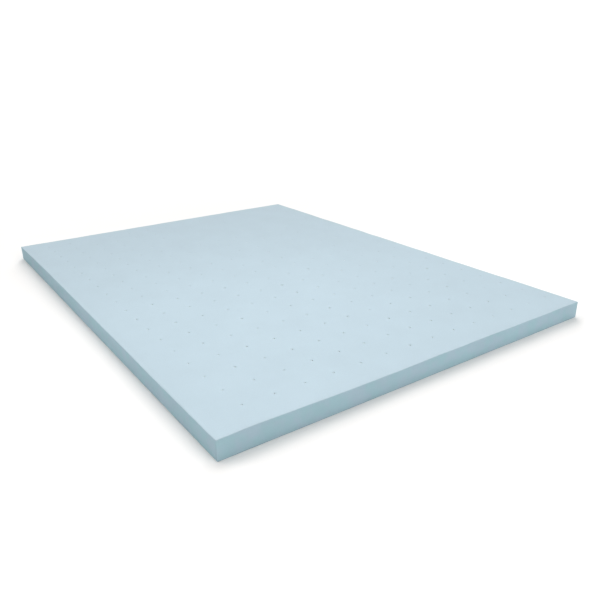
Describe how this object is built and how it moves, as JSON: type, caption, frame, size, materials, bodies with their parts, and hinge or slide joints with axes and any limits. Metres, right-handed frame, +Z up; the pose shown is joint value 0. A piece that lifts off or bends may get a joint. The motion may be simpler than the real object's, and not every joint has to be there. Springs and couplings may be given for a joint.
{
  "type": "mattress topper",
  "caption": "Bare pale blue foam mattress topper, queen size: one flat slab cut straight on all sides, with a square grid of small vent holes through it.",
  "frame": {"origin": "middle of the underside, on the surface that the slab lies on", "axes": "+Z up through the thickness, +Y along the length, towards the far short end in the picture, +X across the width"},
  "size_m": [1.507, 2.027, 0.0662],
  "materials": {
    "foam": "matte open-cell foam"
  },
  "bodies": {
    "root": {"foam_slab": "foam"}
  },
  "joints": []
}
